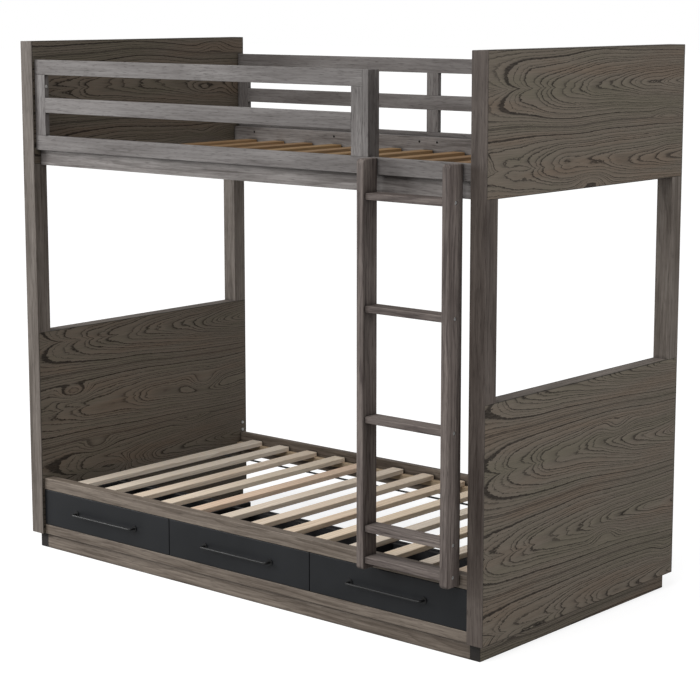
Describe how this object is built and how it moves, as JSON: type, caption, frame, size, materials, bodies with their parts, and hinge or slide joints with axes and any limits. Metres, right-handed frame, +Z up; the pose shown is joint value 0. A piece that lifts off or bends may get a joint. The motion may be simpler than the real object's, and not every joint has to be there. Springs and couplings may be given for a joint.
{
  "type": "bunk bed with ladder",
  "caption": "Wooden bunk bed with windowed end panels, slatted bunks, guard rails, a bolted ladder and sliding drawers under the lower bunk.",
  "frame": {"origin": "on the floor, under the middle of the bounding box", "axes": "+X along the bed towards the ladder's end, +Y from the ladder and drawers to the rear, +Z up"},
  "size_m": [2.05, 1.128, 1.83],
  "materials": {
    "end_wood": "satin grey-brown ash with dark grain",
    "rail_wood": "satin light grey wash",
    "ladder_wood": "satin grey-brown",
    "pine": "bare planed pine",
    "charcoal_board": "satin charcoal paint",
    "black_board": "matt black laminate",
    "black_steel": "satin black powder coat",
    "zinc_steel": "bright zinc plate",
    "webbing": "woven black webbing"
  },
  "bodies": {
    "bed_frame": {"drawer_back_beam": "black_board", "drawer_bottom_rail": "end_wood", "drawer_partitions": "black_board", "end_plinths": "end_wood", "fixed_drawer_slides": "zinc_steel", "frame_bolts": "zinc_steel", "front_guard_bottom_rail": "rail_wood", "front_guard_end_post": "rail_wood", "front_guard_left_stile": "rail_wood", "front_guard_mid_rail": "rail_wood", "front_guard_right_stile": "rail_wood", "front_guard_top_rail": "rail_wood", "front_plinth": "end_wood", "guard_screws": "zinc_steel", "ladder_bolts": "zinc_steel", "ladder_left_stile": "ladder_wood", "ladder_right_stile": "ladder_wood", "ladder_rungs": "ladder_wood", "left_cross_rails": "end_wood", "left_front_post": "end_wood", "left_lower_inner_skin": "end_wood", "left_lower_outer_skin": "end_wood", "left_rear_post": "end_wood", "left_upper_inner_skin": "end_wood", "left_upper_outer_skin": "end_wood", "lower_front_rail": "end_wood", "lower_rear_rail": "rail_wood", "lower_slats": "pine", "rear_guard_bottom_rail": "rail_wood", "rear_guard_mid_rail": "rail_wood", "rear_guard_stiles": "rail_wood", "rear_guard_top_rail": "rail_wood", "right_cross_rails": "end_wood", "right_front_post": "end_wood", "right_lower_inner_skin": "end_wood", "right_lower_outer_skin": "end_wood", "right_rear_post": "end_wood", "right_upper_inner_skin": "end_wood", "right_upper_outer_skin": "end_wood", "slat_cleats": "pine", "slat_straps": "webbing", "upper_front_rail": "rail_wood", "upper_rear_rail": "rail_wood", "upper_slats": "pine"},
    "drawer_1": {"drawer_1_bottom": "black_board", "drawer_1_box": "black_board", "drawer_1_front": "charcoal_board", "drawer_1_pull": "black_steel", "drawer_1_slide_members": "zinc_steel"},
    "drawer_2": {"drawer_2_bottom": "black_board", "drawer_2_box": "black_board", "drawer_2_front": "charcoal_board", "drawer_2_pull": "black_steel", "drawer_2_slide_members": "zinc_steel"},
    "drawer_3": {"drawer_3_bottom": "black_board", "drawer_3_box": "black_board", "drawer_3_front": "charcoal_board", "drawer_3_pull": "black_steel", "drawer_3_slide_members": "zinc_steel"}
  },
  "joints": [
    {"name": "drawer_1_slide", "type": "slide", "parent": "bed_frame", "child": "drawer_1", "axis": [0, -1, 0], "range_m": [0, 0.3]},
    {"name": "drawer_2_slide", "type": "slide", "parent": "bed_frame", "child": "drawer_2", "axis": [0, -1, 0], "range_m": [0, 0.3]},
    {"name": "drawer_3_slide", "type": "slide", "parent": "bed_frame", "child": "drawer_3", "axis": [0, -1, 0], "range_m": [0, 0.3]}
  ]
}
